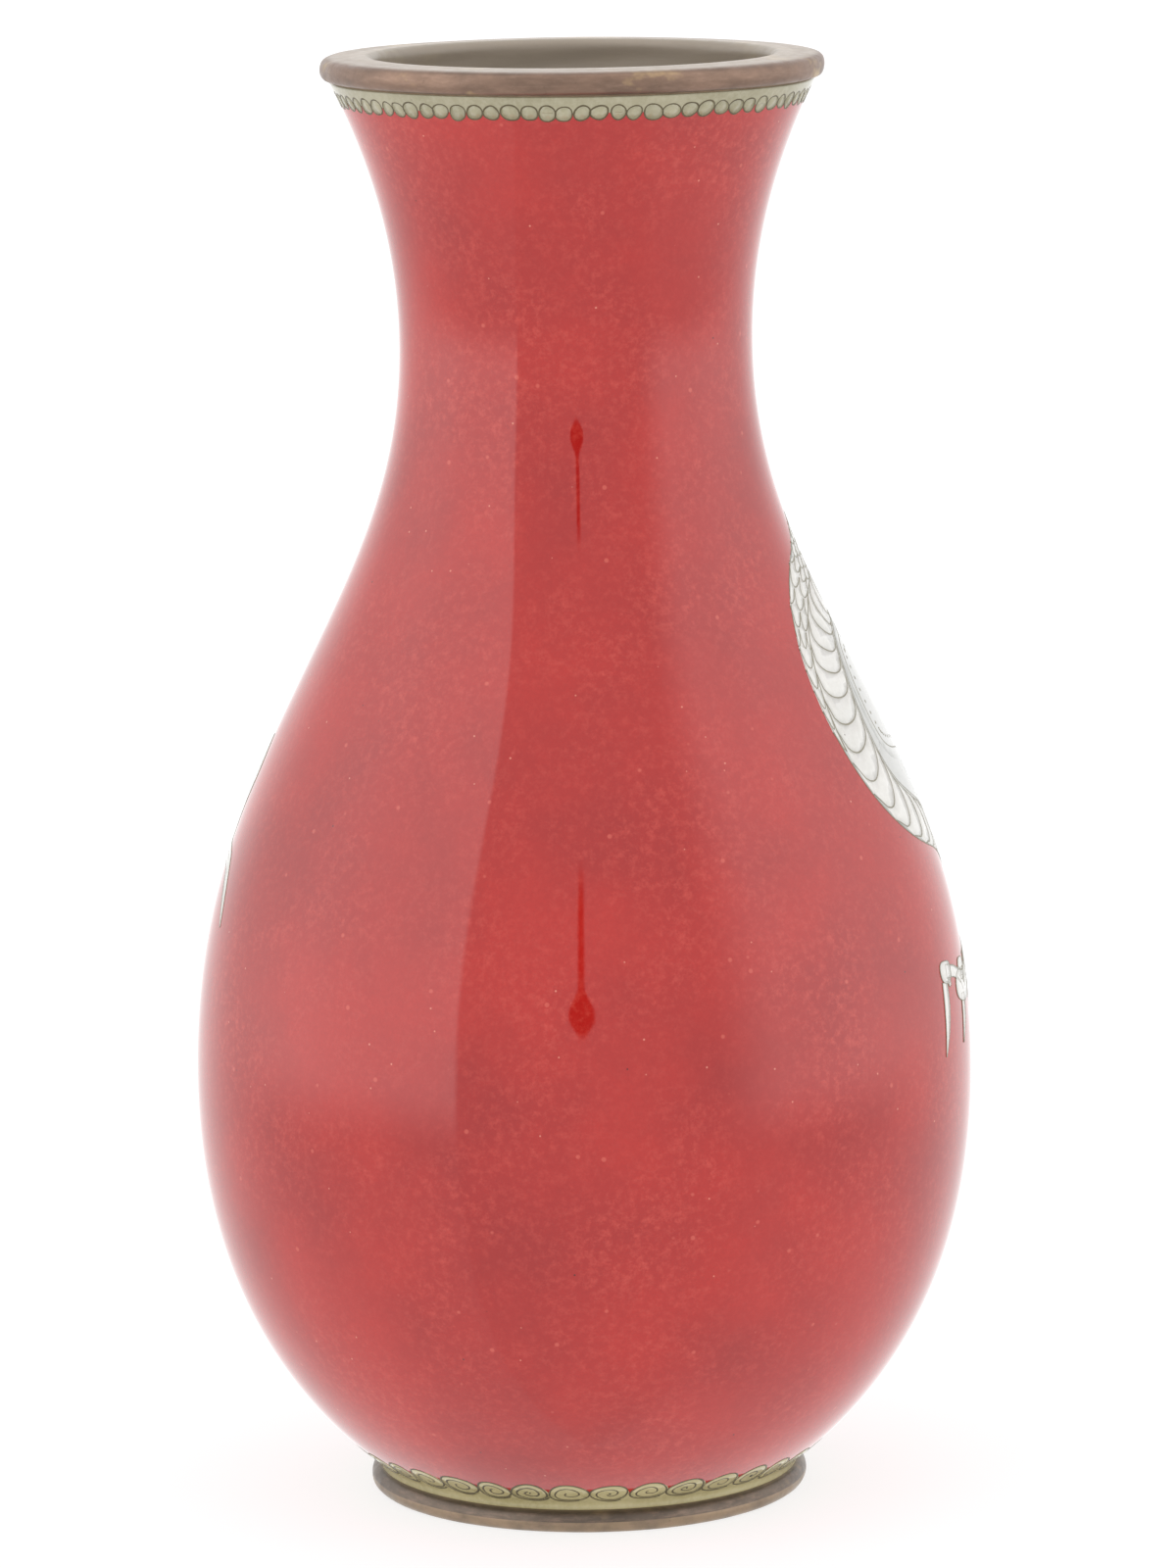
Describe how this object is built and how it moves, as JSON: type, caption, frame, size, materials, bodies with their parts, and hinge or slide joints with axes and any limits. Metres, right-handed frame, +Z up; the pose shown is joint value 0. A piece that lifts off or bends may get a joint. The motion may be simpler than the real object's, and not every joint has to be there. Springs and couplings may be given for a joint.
{
  "type": "cloisonne vase",
  "caption": "Baluster cloisonne vase of enamelled copper: wired dragon inlay on a red ground, ring and spiral borders, bare metal collar and foot ring.",
  "frame": {"origin": "centre of the foot ring's resting face, on the vase's axis", "axes": "+Z up the vase's axis towards the mouth; the plain front faces -Y; the dragon shows at the +X side and wraps round the back"},
  "size_m": [0.0992, 0.0992, 0.184],
  "materials": {
    "bare_copper": "brown patinated copper with brassy worn edges",
    "vessel_copper": "spun copper, hidden under the enamel",
    "solder": "dark oxidised solder seam",
    "wire": "flat metal wire, ground flush and dulled",
    "red_enamel": "polished opaque red enamel with fine pits",
    "celadon_enamel": "polished grey-green enamel",
    "white_enamel": "polished white enamel",
    "grey_enamel": "polished pale grey enamel",
    "pink_enamel": "polished dull pink enamel",
    "dark_enamel": "polished dark enamel",
    "lining": "grey-brown lining enamel, slightly uneven"
  },
  "bodies": {
    "root": {"copper_body": "vessel_copper", "foot_ring": "bare_copper", "rim_collar": "bare_copper", "foot_solder": "solder", "rim_solder": "solder", "lining_enamel": "lining", "base_enamel": "lining", "ground_enamel": "red_enamel", "neck_band_enamel": "celadon_enamel", "ring_wires": "wire", "ring_enamel": "celadon_enamel", "foot_band_enamel": "celadon_enamel", "spiral_wires": "wire", "spiral_enamel": "celadon_enamel", "dragon_scale_enamel": "white_enamel", "dragon_belly_enamel": "white_enamel", "dragon_body_wires": "wire", "dragon_head_enamel": "white_enamel", "dragon_jaw_enamel": "white_enamel", "dragon_tongue_enamel": "pink_enamel", "dragon_eye_enamel": "dark_enamel", "dragon_head_wires": "wire", "dragon_horn_enamel": "grey_enamel", "dragon_horn_wires": "wire", "dragon_mane_enamel": "grey_enamel", "dragon_mane_wires": "wire", "dragon_whisker_wires": "wire", "dragon_leg_enamel": "white_enamel", "dragon_paw_enamel": "white_enamel", "dragon_claw_enamel": "white_enamel", "dragon_leg_wires": "wire", "dragon_fin_enamel": "grey_enamel", "dragon_fin_wires": "wire", "dragon_tail_enamel": "white_enamel", "dragon_tail_wires": "wire", "flame_enamel": "pink_enamel", "flame_wires": "wire"}
  },
  "joints": []
}
